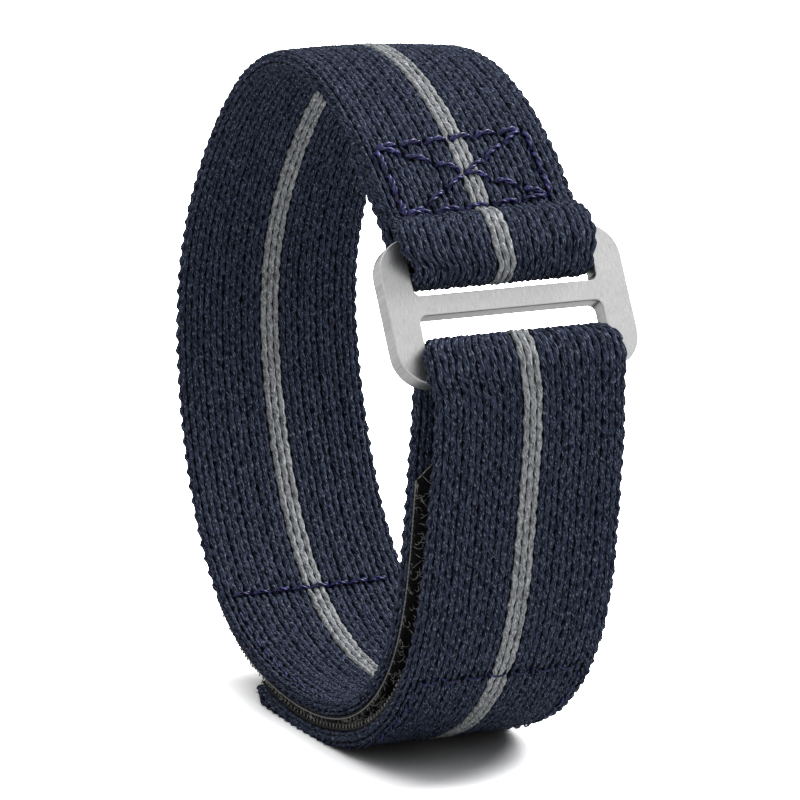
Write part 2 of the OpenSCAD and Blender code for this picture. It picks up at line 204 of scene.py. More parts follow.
def seated(s, y):
    """The strip is drawn in where it passes through a slot. In front of each bar it spreads a
    little and has slid to the left, but the fold keeps out of the side bars' way when the buckle
    swings out."""
    x, z = np.interp(s, run, route[:, 0]), np.interp(s, run, route[:, 1])
    away = np.stack([x, z], -1) - plate_middle
    down, off = away @ plate_down, away @ plate_out
    room = swing_room * np.clip(down - upper_bar_s, 0, 3) * (down < 0)
    narrow = soft_step(np.abs(off) - room, 2.6, 1.3) * (down > upper_bar_s) * (down < lower_bar_s)
    front = soft_step(off - room, 0.9, 2.5)
    front = front * soft_step(down, -11, -7.5) * soft_step(down, 11.5, 7.5)
    fold, turn = front * (down < 0), front * (down >= 0)
    wider = 1 - slot_draw * narrow + fold_spread * fold + turn_spread * turn
    return y * wider - fold_slip * fold - turn_slip * turn


# Where the worn webbing lies a little wider than it was woven: the lower back, under the box stitch
# and the tail. Each is a place along the strip, how far it reaches, and how much wider it is there.
spreads = ((on_loop(212), 17.0, 0.045), (on_loop(242), 11.0, 0.035), (on_loop(68), 12.0, 0.02),
           (on_tail(-36), 18.0, 0.03))

# The crown and roll over the top of the loop, the thicker end of the tail, and the flat underside.
crown_s, crown_reach, crown_roll, crown_h = on_loop(100), 16.0, 0.045, 0.45
end_s, end_reach, end_thicker = on_tail(-98), 12.0, 0.75
flat_under_z, half_step = 0.2, 0.4


def swell(s, at, reach):
    return np.exp(-((s - at) / reach) ** 2)


def bent(s, y, n):
    """Places in metres of a strip bent along its side line: s along, y across, n out of its face.
    The strip spreads in places, rolls and crowns a little over the top of the loop, and is pressed
    flat where it stands."""
    crown = crown_h * (1 - (2 * y / webbing_w) ** 2) - crown_roll * y
    n = n + crown * swell(s, crown_s, crown_reach)
    n = n - end_thicker * np.clip(-n / half_t, 0, 1) * swell(s, end_s, end_reach)
    y = y * (1 + sum(wider * swell(s, at, reach) for at, reach, wider in spreads))
    x, z = np.interp(s, run, route[:, 0]), np.interp(s, run, route[:, 1])
    dx, dz = (np.interp(s + half_step, run, line) - np.interp(s - half_step, run, line)
              for line in route.T)
    long = np.hypot(dx, dz)
    x, z = x + n * dz / long + loop_middle[0], z - n * dx / long + loop_middle[1]
    z = np.where(z < flat_under_z, flat_under_z * np.exp(z / flat_under_z - 1), z)
    return np.stack([x, y + 0 * s, z], -1) * mm


def stitch_row(start, end, pitch, share):
    """The two needle holes of every stitch in a straight row of them."""
    start, end = np.array(start), np.array(end)
    count = max(1, round(float(np.linalg.norm(end - start)) / pitch))
    way, rest = (end - start) / count, (1 - share) / 2
    return [(start + way * (i + rest), start + way * (i + 1 - rest)) for i in range(count)]


# Each kind of row has the pitch of its stitches, and the share of it that a stitch lies on top.
box_pitch, edge_pitch = (2.9, 0.8), (2.2, 0.7)
tape_end_pitch, hook_end_pitch = (2.1, 0.9), (2.5, 0.78)
box_corners = ((57.8, -8.7), (59.5, 7.4), (44.3, 7.4), (41.6, -8.4))
edge_y = 8.8


def box_rows(at):
    """A box with a cross in it; its rows slant a little, as they were sewn."""
    a, b, c, d = ((at(angle), y) for angle, y in box_corners)
    rows = (a, b), (b, c), (c, d), (d, a), (a, c), (b, d)
    return sum((stitch_row(start, end, *box_pitch) for start, end in rows), [])


def cross_row(s, y_low, y_high, pitch):
    return stitch_row((s, y_low), (s, y_high), *pitch)


def edge_rows(first, last):
    return sum((stitch_row((first, y), (last, y), *edge_pitch) for y in (-edge_y, edge_y)), [])


# Every row of stitches with the face that it shows on: +1 is the right of the strip's travel.
sewn = {
    "box": (1, box_rows(on_loop) + box_rows(on_layer)),
    "tape_ends": (-1, cross_row(on_loop(-124.2), -8.9, 7.9, tape_end_pitch)
                  + cross_row(on_loop(-5.6), -edge_y, edge_y, tape_end_pitch)),
    "tape_edges": (-1, edge_rows(on_loop(-121), on_loop(-8))),
    "hook_tape_curve": (-1, cross_row(on_tail(-42.2), -edge_y, 8.3, hook_end_pitch)
                        + edge_rows(on_tail(-43.5), on_tail(-61))),
    "hook_tape_end": (-1, cross_row(on_tail(-104.2), -edge_y, edge_y, hook_end_pitch)
                      + edge_rows(on_tail(-63), on_tail(-103))),
}
holes = np.array([(*end, face) for face, stitches in sewn.values()
                  for stitch in stitches for end in stitch])

# Each needle hole draws the cords in round it, and the dent that it makes gets painted shade.
dent_reach, dent_spread, dent_depth, dent_shade = 2, 0.35, 0.3, 3.2


def drawn_to_holes(s, y, n):
    """How far the threads draw the cords in round the needle's holes, from 0 to 1."""
    drawn = np.zeros_like(s)
    near = (holes[:, 0] > s.min() - dent_reach) & (holes[:, 0] < s.max() + dent_reach)
    for hole_s, hole_y, face in holes[near]:
        away = (s - hole_s) ** 2 + (y - hole_y) ** 2
        drawn = np.maximum(drawn, np.where(n * face > 0, np.exp(-away / dent_spread), 0))
    return drawn


# The section of the webbing is a flat loop of 60 warp cords: 27 on each face and 3 round each edge.
edge_r = 0.7
cords = 60
flat, bend, side = webbing_w / 2 - edge_r, math.pi * edge_r / 2, webbing_t - 2 * edge_r
section_at = np.cumsum([0, flat, bend, side, bend, 2 * flat, bend, side, bend, flat])
section_turn = np.radians([90, 90, 0, 0, -90, -90, -180, -180, -270, -270])
section_y = np.array([0, flat, flat, flat, flat, -flat, -flat, -flat, -flat, 0])
section_n = np.array([1, 1, 1, -1, -1, -1, -1, 1, 1, 1]) * side / 2
cord_w = section_at[-1] / cords

# The weave: the pitch of its picks, how far a cord swings sideways (in cords), and how deep lie its
# shoulders, the valley between two cords, the slits in it and the grooves after each third cord.
pick = 1.6
swing_w, swing_varies, swing_drifts, groove_wander = 0.085, 0.045, 0.04, 0.13
shoulder_depth, shoulder_falls = 0.06, 0.09
valley_depth, slit_depth, groove_depth = 0.14, 0.18, 0.2
cord_waves, pick_waves = 0.03, 0.04
edge_out, edge_beads = 0.1, 0.15

# The heat sealed ends are thinner, and the sewn fold is pressed a little thinner too.
seal_l, seal_thin = 0.8, 0.45
fold_press, press_from, press_to = 0.12, 5.5, 2.5


def woven_place(q, s, lift):
    """Places of the weave's surface: q counts cords round the section, and s runs along the strip.
    Each cord swings from one neighbour to the other, and neighbours swing against each other, so
    that slits open between them in turn, like bricks. Also says how deep each place lies, which
    sets the painted shade of the slits, the grooves and the needle dents."""
    column = np.floor(q + 0.5)
    across = q - column
    column = column % cords
    phase = (2 * math.pi * s / pick + math.pi * column + 0.7 * np.sin(column * 7.3 + s / 5.1)
             + 0.5 * np.sin(s / 2.3 + column * 3.9) + 0.4 * np.sin(s / 23 + column))
    valley = across < -0.45
    groove = np.where(column % 3 == 2, 1.0, 0.0)
    next_groove = np.where(column % 3 == 1, 1.0, 0.0)
    opened = (0.5 + 0.5 * np.cos(phase)) ** 1.2
    next_opened = (0.5 - 0.5 * np.cos(phase)) ** 1.2

    wander = groove * groove_wander * np.cos(math.pi * s / pick + column * 1.9)
    swing = (swing_w + swing_varies * np.sin(s * 0.7 + column * 2.7)) * np.cos(phase)
    swing = np.where(valley, wander, swing + swing_drifts * np.sin(s * 1.3 + column * 5.1))
    shoulder = -shoulder_depth - shoulder_falls * np.where(across < 0, groove, next_groove)
    crown = np.where(np.abs(across) > 0.2, shoulder, 0.0)
    height = np.where(valley, -valley_depth - slit_depth * opened - groove_depth * groove, crown)
    height = height + cord_waves * np.sin(s * 0.9 + column * 2.4)
    height = height - np.where(valley, 0, pick_waves * np.cos(2 * phase))
    beside = np.where(across > 0.1, next_opened + 0.5 * next_groove, opened + 0.5 * groove)
    depth = np.where(np.abs(across) < 0.1, 0.5, beside)

    at = (q + swing) * cord_w % section_at[-1]
    turn = np.interp(at, section_at, section_turn)
    y = np.interp(at, section_at, section_y)
    n = np.interp(at, section_at, section_n)
    bead = np.cos(2 * math.pi * s / pick + np.where(y > 0, 0, 2.0))
    height = height + lift + np.abs(np.cos(turn)) ** 2 * (edge_out + edge_beads * bead)
    y, n = y + (edge_r + height) * np.cos(turn), n + (edge_r + height) * np.sin(turn)
    drawn = drawn_to_holes(s, y, n)
    n, depth = n - np.sign(n) * dent_depth * drawn, depth + dent_shade * drawn
    sealed = np.clip(np.minimum(s, strip_length - s) / seal_l, 0, 1)
    thinned = seal_thin + (1 - seal_thin) * np.sqrt(sealed)
    pressed = 1 - fold_press * soft_step(np.abs(s - run[firsts[3]]), press_from, press_to)
    return bent(s, seated(s, y), n * pressed * thinned), depth


class Shade:
    """A shader socket that can be used in sums, and that makes the other nodes of its material."""

    def __init__(self, tree, socket=None):
        self.tree, self.socket = tree, socket

    def make(self, kind, settings, sockets, out=0):
        node = self.tree.nodes.new("ShaderNode" + kind)
        for name, value in settings.items():
            if name == "stops":
                while len(node.color_ramp.elements) < len(value):
                    node.color_ramp.elements.new(1)
                for element, (place, colour) in zip(node.color_ramp.elements, value):
                    element.position, element.color = place, colour
            else:
                setattr(node, name, value)
        for key, value in sockets.items():
            if isinstance(value, Shade):
                self.tree.links.new(value.socket, node.inputs[key])
            else:
                node.inputs[key].default_value = value
        return Shade(self.tree, node.outputs[out] if len(node.outputs) else None)

    def maths(self, operation, a, b=0.0):
        return self.make("Math", {"operation": operation}, {0: a, 1: b})

    def __add__(self, other):
        return self.maths("ADD", self, other)

    def __sub__(self, other):
        return self.maths("SUBTRACT", self, other)

    def __rsub__(self, other):
        return self.maths("SUBTRACT", other, self)

    def __mul__(self, other):
        return self.maths("MULTIPLY", self, other)

    def __pow__(self, other):
        return self.maths("POWER", self, other)

    __radd__, __rmul__ = __add__, __mul__

    def limited(self, value):
        return self.make("Math", {"operation": "MAXIMUM", "use_clamp": True}, {0: value, 1: 0.0})

    def ramp(self, value, low, high, first=0, last=1):
        stops = [(low, (first, first, first, 1)), (high, (last, last, last, 1))]
        return self.make("ValToRGB", {"stops": stops}, {0: value})

    def noise(self, place, scale, detail, roughness=0.5):
        return self.make("TexNoise", {}, {
            "Vector": place, "Scale": scale, "Detail": detail, "Roughness": roughness})

    def bump(self, height, strength, distance):
        return self.make("Bump", {}, {"Strength": strength, "Distance": distance, "Height": height})

    def mixed(self, share, a, b):
        return self.make("Mix", {"data_type": "RGBA"}, {0: share, 6: a, 7: b}, out=2)


def new_finish(name):
    material = bpy.data.materials.new(name)
    material.use_nodes = True
    material.node_tree.nodes.clear()
    return material, Shade(material.node_tree)


def yarn_finish(name, dark, body, light, glint):
    """Polyester yarn: fine fibres that run slantwise along each cord, and light flecks painted as
    glints. Painted shade darkens each cord's edges and the slits, grooves and needle dents beside
    the cords.
    """
    material, shade = new_finish(name)
    weave = shade.make("UVMap", {"uv_map": "weave"}, {})
    slant = shade.make("Mapping", {"vector_type": "TEXTURE"}, {
        "Vector": weave, "Rotation": (0, 0, 0.2), "Scale": (0.22, 1.1, 1)})
    fibres = shade.noise(slant, 1.0, 3.0, 0.7)
    specks = shade.noise(slant, 1.7, 1.0)
    patches = shade.noise(weave, 0.45, 2.0)
    # The depth attribute sets how much painted shade each place gets: in the slits, the grooves and
    # round the needle holes.
    slits = shade.make("Attribute", {"attribute_name": "slit"}, {}, out=2)
    colour = shade.mixed(shade.ramp(fibres, 0.43, 0.57), body, light)
    colour = shade.mixed(shade.ramp(patches, 0.35, 0.6, 1, 0) * 0.35, colour, dark)
    colour = shade.mixed(shade.ramp(specks, 0.60, 0.68) * 0.8, colour, glint)
    # Painted shade: dark where a slit, groove or needle dent opens beside a cord, and a little
    # along every cord's edge.
    across = shade.make("SeparateXYZ", {}, {0: weave}) + 0.5
    from_crown = across.maths("FRACT", across) - 0.5
    from_edge = 0.5 - from_crown.maths("ABSOLUTE", from_crown)
    painted_gap_shade = shade.limited((slits * 0.095 + 0.02 - from_edge) * 16.0)
    shadow = shade.limited((0.22 - from_edge) * 5.0) * 0.5
    colour = shade.mixed(shadow, colour, dark)
    colour = shade.mixed(painted_gap_shade * 0.97, colour, dark)
    relief = shade.bump(fibres + specks * 0.5 - painted_gap_shade, 0.9, 0.00014)
    skin = shade.make("BsdfPrincipled", {}, {
        "Base Color": colour, "Roughness": 0.75, "Specular IOR Level": 0.06, "Normal": relief})
    shade.make("OutputMaterial", {}, {"Surface": skin})
    return material


navy_yarn = yarn_finish("navy_yarn", (0.0010, 0.0014, 0.0034, 1), (0.0055, 0.0082, 0.019, 1),
                        (0.058, 0.074, 0.126, 1), (0.25, 0.28, 0.36, 1))
grey_yarn = yarn_finish("grey_yarn", (0.014, 0.016, 0.02, 1), (0.18, 0.19, 0.205, 1),
                        (0.48, 0.5, 0.515, 1), (0.85, 0.87, 0.88, 1))


def bent_piece(name, rows, ring, places, material):
    """A closed strip. rows are the places along the webbing, ring counts the points of its section,
    and places(index, s) gives each point, its texture place and its depth in the weave."""
    bm = bmesh.new()
    bmesh.ops.create_grid(bm, x_segments=ring, y_segments=len(rows) - 1, size=1)
    mesh = bpy.data.meshes.new(name)
    bm.to_mesh(mesh)
    co = np.zeros(len(mesh.vertices) * 3)
    mesh.vertices.foreach_get("co", co)
    index = np.rint((co[0::3] + 1) / 2 * ring).astype(int)
    s = rows[np.rint((co[1::3] + 1) / 2 * (len(rows) - 1)).astype(int)]
    place, u, v, depth = places(index, s)
    mesh.vertices.foreach_set("co", place.astype(np.float32).ravel())
    corner = np.zeros(len(mesh.loops), np.int32)
    mesh.loops.foreach_get("vertex_index", corner)
    weave = np.stack([u, v], -1)[corner].astype(np.float32)
    mesh.uv_layers.new(name="weave").data.foreach_set("uv", weave.ravel())
    # The depth is kept as an attribute: on the webbing it sets the yarn's painted shade, and on a
    # tape it marks the rim.
    slit = mesh.attributes.new("slit", "FLOAT", "POINT")
    slit.data.foreach_set("value", depth.astype(np.float32))
    bm.clear()
    bm.from_mesh(mesh)
    bmesh.ops.remove_doubles(bm, verts=bm.verts, dist=1e-7)
    for face in bm.faces:
        face.smooth = True
    rims = [e for e in bm.edges if e.is_boundary]
    for edge in rims:
        edge.smooth = False
    bmesh.ops.holes_fill(bm, edges=rims, sides=0)
    bmesh.ops.recalc_face_normals(bm, faces=bm.faces)
    bm.to_mesh(mesh)
    bm.free()
    mesh.materials.append(material)
    piece = bpy.data.objects.new(name, mesh)
    bpy.context.scene.collection.objects.link(piece)
    return piece


# The mesh has six rows of points to a pick and four points across each cord.
row = pick / 6
cord_points = np.array([-0.5, -0.3, 0.0, 0.3])
webbing_ring = (np.arange(cords)[:, None] + cord_points).ravel()
stripe_top = (np.arange(-1, 2)[:, None] + cord_points).ravel()


def webbing_places(index, s):
    """The navy cords all round the section."""
    q = webbing_ring[index % len(webbing_ring)]
    place, depth = woven_place(q, s, 0.0)
    return place, np.where(index == len(webbing_ring), q + cords, q), s / cord_w, depth


stripe_ring = np.concatenate([stripe_top, [1.5, 1.5, -1.5]])
stripe_back = np.concatenate([np.zeros(len(stripe_top) + 1), [1, 1]])
stripe_lift, stripe_t = 0.05, 0.35


def stripe_places(middle):
    """The grey cords of one face lie just proud of the navy ones, on a flat back in the strip."""
    def places(index, s):
        i = index % len(stripe_ring)
        lift = stripe_lift - stripe_t * stripe_back[i]
        place, depth = woven_place(stripe_ring[i] + middle, s, lift)
        return place, stripe_ring[i] + 0 * s, s / cord_w, depth

    return places


# The strip's stretches, each cut where it rides stiffly on one body, so that no seam opens.
leg_end, turn_top = float(run[firsts[6]]), on_tail(-10)
cuts = {
    "fold": (0.0, on_loop(64)),
    "back": (on_loop(64), on_loop(199)),
    "bottom": (on_loop(199), leg_end),
    "turn": (leg_end, turn_top),
    "front": (turn_top, on_tail(-37)),
    "curve": (on_tail(-37), on_tail(-62)),
    "end": (on_tail(-62), strip_length),
}
cuts = {name: tuple(round(s / row) * row for s in span) for name, span in cuts.items()}
cuts["end"] = (cuts["end"][0], strip_length)
bodies = {
    "fold": ("band", None), "back": ("band", None), "bottom": ("band", "buckle"),
    "turn": ("buckle", "tail_1"), "front": ("tail_1", "tail_2"),
    "curve": ("tail_2", "tail_3"), "end": ("tail_3", "tail_4"),
}
stands_for = {
    "fold": ["band"], "back": ["band"], "bottom": ["band", "wrap"], "turn": ["wrap", "tail_1"],
    "front": ["tail_1", "tail_2"], "curve": ["tail_2", "tail_3"], "end": ["tail_3", "tail_4"],
}

# The span about each joint of a stretch that crosses one: the leg along its whole length, the tail
# close about each of its hinges.
bend_reach = 3.5
bend_spans = {"bottom": (on_loop(-9), leg_end - 1.0)}
for stretch, a in zip(("turn", "front", "curve", "end"), tail_at):
    bend_spans[stretch] = (on_tail(a) - bend_reach, on_tail(a) + bend_reach)


def carry(piece, stretch):
    """A piece of one stretch rides on its body. A piece of a stretch that crosses a joint is not
    attached to a body; its place is only baked into its mesh.
    """
    first, second = bodies[stretch]
    if second is None:
        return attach(piece, first)
    start, end = (Vector(bent(np.array([s]), 0.0, 0.0)[0]) for s in bend_spans[stretch])
    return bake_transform(piece)


for stretch, (first, last) in cuts.items():
    rows = np.linspace(first, last, int(round((last - first) / row)) + 1)
    piece = bent_piece("webbing_" + stretch, rows, len(webbing_ring), webbing_places, navy_yarn)
    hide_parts(*[part + "_webbing" for part in stands_for[stretch]])
    carry(piece, stretch)
    for face, other, middle in (("outer", "inner", 0), ("inner", "outer", cords // 2)):
        piece = bent_piece(f"stripe_{face}_{stretch}", rows, len(stripe_ring),
                           stripe_places(middle), grey_yarn)
        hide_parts(*[f"{part}_stripe_{other if part.startswith('tail') else face}"
                             for part in stands_for[stretch]])
        carry(piece, stretch)

# The buckle: one flat frame of stainless steel with three cross bars, cut out with two slots. Its
# faces are brushed from bar to bar, and its edges are rounded over and polished.
slot_w, side_bar_w = 19.5, 3.15
plate_w = slot_w + 2 * side_bar_w
plate_corner_r, slot_corner_r, polished_w = 3.5, 0.75, 0.14
plate_top, plate_foot = upper_bar_s - bar_h / 2, lower_bar_s + bar_h / 2


def rounded_outline(curve, y_low, y_high, s_low, s_high, r):
    """A rounded rectangle as one closed spline, with ten points in each corner."""
    spots = []
    for cy, cs, first in ((y_high - r, s_high - r, 0), (y_low + r, s_high - r, 90),
                          (y_low + r, s_low + r, 180), (y_high - r, s_low + r, 270)):
        spots += [np.array([cy, cs]) + r * ray(first + 9 * i) for i in range(11)]
    spline = curve.splines.new("POLY")
    spline.points.add(len(spots) - 1)
    spline.points.foreach_set("co", np.array([(y, s, 0, 1) for y, s in spots], np.float32).ravel())
    spline.use_cyclic_u = True


outline = bpy.data.curves.new("buckle_outline", "CURVE")
outline.dimensions, outline.fill_mode = "2D", "BOTH"
outline.extrude, outline.offset = plate_t / 2 - polished_w, -polished_w
outline.bevel_depth, outline.bevel_resolution = polished_w, 4
rounded_outline(outline, -plate_w / 2, plate_w / 2, plate_top, plate_foot, plate_corner_r)
for slot_top, height in ((upper_bar_s + bar_h / 2, upper_slot_h), (middle_bar_h / 2, lower_slot_h)):
    rounded_outline(outline, -slot_w / 2, slot_w / 2, slot_top, slot_top + height, slot_corner_r)
draft = bpy.data.objects.new("buckle_outline", outline)
buckle_mesh = bpy.data.meshes.new_from_object(draft)
bpy.data.objects.remove(draft)
bm = bmesh.new()
bm.from_mesh(buckle_mesh)
bmesh.ops.remove_doubles(bm, verts=bm.verts, dist=1e-4)
bmesh.ops.recalc_face_normals(bm, faces=bm.faces)
grain = bm.loops.layers.uv.new("grain")
for face in bm.faces:
    face.normal_update()
    face.smooth = True
    face.material_index = 0 if abs(face.normal.z) > 0.999 else 1
    for corner in face.loops:
        corner[grain].uv = corner.vert.co.xy
for edge in bm.edges:
    edge.smooth = len({face.material_index for face in edge.link_faces}) == 1
for vert in bm.verts:
    y, s, n = vert.co
    x, z = plate_middle + s * plate_down + n * plate_out + loop_middle
    vert.co = Vector((x, y, z)) * mm
bmesh.ops.recalc_face_normals(bm, faces=bm.faces)
bm.to_mesh(buckle_mesh)
bm.free()


def steel_finish(name, tone, roughness, streaks):
    material, shade = new_finish(name)
    along = shade.make("UVMap", {"uv_map": "grain"}, {})
    stretched = shade.make("Mapping", {}, {"Vector": along, "Scale": (2.4, 0.22, 1)})
    fine = shade.noise(stretched, 5.0, 5.0, 0.75)
    broad = shade.noise(along, 0.25, 2.0)
    grit = shade.noise(along, 9.0, 3.0, 0.7)
    mark = fine * 0.6 + grit * 0.4
    dull = [c * (1 - streaks) for c in tone] + [1]
    bright = [min(1, c * (1 + streaks)) for c in tone] + [1]
    colour = shade.mixed(shade.ramp(mark, 0.35, 0.65), dull, bright)
    relief = shade.bump(mark, 0.25 + streaks, 0.00002)
    rough = roughness + (mark - 0.5) * 0.25 + (broad - 0.5) * 0.08
    skin = shade.make("BsdfPrincipled", {}, {
        "Base Color": colour, "Metallic": 1.0, "Roughness": rough, "Normal": relief})
    shade.make("OutputMaterial", {}, {"Surface": skin})
    return material


buckle_mesh.materials.clear()
buckle_mesh.materials.append(steel_finish("satin_steel", (0.49, 0.49, 0.49), 0.36, 0.26))
buckle_mesh.materials.append(steel_finish("polished_steel", (0.56, 0.56, 0.565), 0.13, 0.08))
buckle = bpy.data.objects.new("buckle_plate", buckle_mesh)
bpy.context.scene.collection.objects.link(buckle)
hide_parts("buckle_frame")
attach(buckle, "buckle")


# The box stitch: thick indigo thread of two twisted plies, sewn through the band and the layer that
# is folded back inside it, as a box with a cross. It shows on both outer faces.
def thread_finish(name, dark, body, light):
    material, shade = new_finish(name)
    place = shade.make("TexCoord", {}, {}, out=3)
    fibres = shade.noise(place, 3500.0, 2.0, 0.6)
    patches = shade.noise(place, 1500.0, 2.0)
    colour = shade.mixed(shade.ramp(fibres, 0.47, 0.66), body, light)
    colour = shade.mixed(shade.ramp(patches, 0.4, 0.6, 1, 0) * 0.6, colour, dark)
    relief = shade.bump(fibres, 0.25, 0.00003)
    skin = shade.make("BsdfPrincipled", {}, {
        "Base Color": colour, "Roughness": 0.3, "Specular IOR Level": 0.55,
        "Specular Tint": (0.68, 0.68, 1.0, 1), "Normal": relief})
    shade.make("OutputMaterial", {}, {"Surface": skin})
    return material


indigo_thread = thread_finish("indigo_thread", (0.002, 0.0018, 0.009, 1), (0.0075, 0.007, 0.037, 1),
                              (0.09, 0.088, 0.36, 1))


def laid_fibres(name, paths, radius, sides, materials):
    """One mesh of many thin tubes; each path is its points in metres and its material's number."""
    curve = bpy.data.curves.new(name, "CURVE")
    curve.dimensions, curve.use_fill_caps = "3D", True
    curve.bevel_depth, curve.bevel_resolution = radius * mm, (sides - 4) // 2
    for material in materials:
        curve.materials.append(material)
    for points, number in paths:
        spline = curve.splines.new("POLY")
        spline.points.add(len(points) - 1)
        co = np.c_[points, np.ones(len(points))].astype(np.float32)
        spline.points.foreach_set("co", co.ravel())
        spline.material_index = number
    draft = bpy.data.objects.new(name, curve)
    mesh = bpy.data.meshes.new_from_object(draft)
    bpy.data.objects.remove(draft)
    mesh.name = name
    bm = bmesh.new()
    bm.from_mesh(mesh)
    for face in bm.faces:
        face.smooth = True
    bmesh.ops.recalc_face_normals(bm, faces=bm.faces)
    bm.to_mesh(mesh)
    bm.free()
    piece = bpy.data.objects.new(name, mesh)
    bpy.context.scene.collection.objects.link(piece)
    return piece


ply_off, ply_turn_l, stitch_dip = 0.23, 3.6, 0.55


def twisted_stitches(key, width, bow, sunk=0.0):
    """The plies of each stitch twist round its middle line, which dips into the cloth at both
    ends."""
    face, stitches = sewn[key]
    paths = []
    for start, end in stitches:
        t = np.linspace(0, 1, 19)
        across = (end - start) / np.linalg.norm(end - start)
        lean = np.array([across[1], -across[0]])
        if lean[0] < 0:
            lean = -lean
        middle = start + np.outer(t, end - start) + np.outer(bow * np.sin(math.pi * t), lean)
        rise = 0.22 * width - (stitch_dip + 0.22 * width) * np.abs(2 * t - 1) ** 5
        turns = np.linalg.norm(end - start) / (ply_turn_l * width)
        for first in (0, math.pi):
            turn = 2 * math.pi * t * turns + first
            at = middle + np.outer(ply_off * width * np.sin(turn), lean)
            n = face * (half_t - sunk + rise + ply_off * width * np.cos(turn))
            paths.append((bent(at[:, 0], at[:, 1], n), 0))
    return paths


box_thread_w, box_bow, box_ply_r = 0.56, 0.1, 0.158
box_paths = twisted_stitches("box", box_thread_w, box_bow)
piece = laid_fibres("box_thread", box_paths, box_ply_r, 6, [indigo_thread])
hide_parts("box_stitching")
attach(piece, "band")

# The tail's cut end. The polyester cords are sealed together by heat, and a fringe of short loose
# fibres is left along the cut, each leaning its own way.
fringe_count, fringe_r, ground_z = 240, 0.035, 0.06
fringe = np.random.default_rng(5)
tail_end, before_end = (Vector(bent(np.array([strip_length - back]), 0.0, 0.0)[0])
                        for back in (0, 1))
end_way = np.array((tail_end - before_end).normalized())
paths = []
for _ in range(fringe_count):
    y, n = fringe.uniform(-9.8, 9.8), fringe.uniform(-0.75, 0.75)
    root = bent(np.array([strip_length - 0.15]), y, n)[0]
    lean = fringe.normal(0, 0.35, 3)
    reach = fringe.uniform(0.25, 0.75) * mm
    tip = root + (end_way + lean) * reach
    points = np.array([root, (root + tip) / 2 + fringe.normal(0, 0.05, 3) * mm, tip])
    points[:, 2] = np.maximum(points[:, 2], ground_z * mm)
    paths.append((points, 0))
piece = laid_fibres("tail_fray", paths, fringe_r, 4, [navy_yarn])
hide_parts("tail_4_webbing")
carry(piece, "end")

# The loop tape: a thin black backing with a pale woven edge, covered with a fuzz of fine loops. It
# is sewn to the band's outer face round the front of the bottom, and its top corners are cut off.
tape_w, tape_cut, loop_back_t, tape_sunk = 19.4, 2.9, 0.25, 0.03
tape_top, tape_foot = float(run[firsts[5]]) + 2.1, on_loop(-125.3)
fuzz = np.random.default_rng(11)


def tape_half(s):
    """Half the loop tape's width; its top corners are cut off."""
    return tape_w / 2 - np.clip(s - (tape_top - tape_cut), 0, tape_cut)


def grey(tone):
    return (tone, tone, tone, 1)


def tape_finish(name, body, pale, rim, scale, roughness):
    """Black nylon with lighter threads, and the pale cut edge where the piece's rim is marked."""
    material, shade = new_finish(name)
    place = shade.make("TexCoord", {}, {}, out=3)
    strands = shade.noise(place, scale, 4.0, 0.7)
    edge = shade.make("Attribute", {"attribute_name": "slit"}, {}, out=2)
    light = shade.ramp(strands, 0.52, 0.72)
    colour = shade.mixed(light, body, pale)
    colour = shade.mixed(edge * (light * 0.5 + 0.5), colour, rim)
    relief = shade.bump(strands, 0.7, 0.0001)
    skin = shade.make("BsdfPrincipled", {}, {
        "Base Color": colour, "Roughness": roughness, "Specular IOR Level": 0.2, "Normal": relief})
    shade.make("OutputMaterial", {}, {"Surface": skin})
    return material


backing_cloth = tape_finish("backing_cloth", grey(0.006), grey(0.02), grey(0.03), 3000.0, 0.9)
pile_ground = tape_finish("pile_ground", (0.004, 0.004, 0.005, 1), (0.022, 0.022, 0.024, 1),
                          grey(0.01), 2500.0, 0.9)
pile_black = tape_finish("pile_black", grey(0.006), grey(0.03), grey(0.05), 2500.0, 0.6)
pile_grey = tape_finish("pile_grey", (0.2, 0.2, 0.195, 1), (0.6, 0.6, 0.58, 1),
                        grey(0.2), 2500.0, 0.5)


def flat_tape(name, rows, half, low, high, rim, material):
    """A flat tape of a box section. half(s) is half its width, and its two edges are marked."""
    side_y = np.array([-1, -1, -0.97, 0, 0.97, 1, 1, 0])
    side_n = np.array([low, high, high, high, high, high, low, low])
    marked = np.array([1, 1, 0, 0, 0, 1, 1, 0]) * rim

    def places(index, s):
        i = index % 8
        y = side_y[i] * half(s)
        return bent(s, y, side_n[i] + 0 * s), y, s, marked[i] + 0.0 * s

    return bent_piece(name, rows, 8, places, material)


piece = flat_tape("loop_tape_cloth", sweep(tape_foot, tape_top, 0.4), tape_half,
                  half_t - tape_sunk, half_t + loop_back_t, 1.0, backing_cloth)
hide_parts("loop_tape_backing")
carry(piece, "bottom")

# The pile's matted ground is a bumpy skin, a little inside the tape's edges.
pile_rows = sweep(tape_foot + 0.3, tape_top - 0.3, 0.33)
pile_ring, pile_h, pile_rough, pile_inset, pile_rim_sunk = 72, 0.13, 0.06, 0.16, 0.05
bumps = fuzz.uniform(-1, 1, (len(pile_rows), pile_ring))
bumps = bumps + 0.5 * (np.roll(bumps, 1, 0) + np.roll(bumps, 1, 1))


def pile_places(index, s):
    i = index % pile_ring
    y = -0.985 + 1.97 * (i - 1) / (pile_ring - 3)
    y = np.where(i == pile_ring - 1, 1, np.where(i == 0, -1, y))
    edge = (i == 0) | (i == pile_ring - 1)
    k = np.rint((s - pile_rows[0]) / (pile_rows[1] - pile_rows[0])).astype(int)
    rough = bumps[np.clip(k, 0, len(pile_rows) - 1), i]
    n = half_t + loop_back_t + np.where(edge, -pile_rim_sunk, pile_h + pile_rough * rough)
    y = y * (tape_half(s) - pile_inset) + np.where(edge, 0, 0.05 * rough)
    return bent(s, y, n), y, s, 0.0 * s


piece = bent_piece("pile_ground", pile_rows, pile_ring, pile_places, pile_ground)
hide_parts("loop_tape_pile")
carry(piece, "bottom")


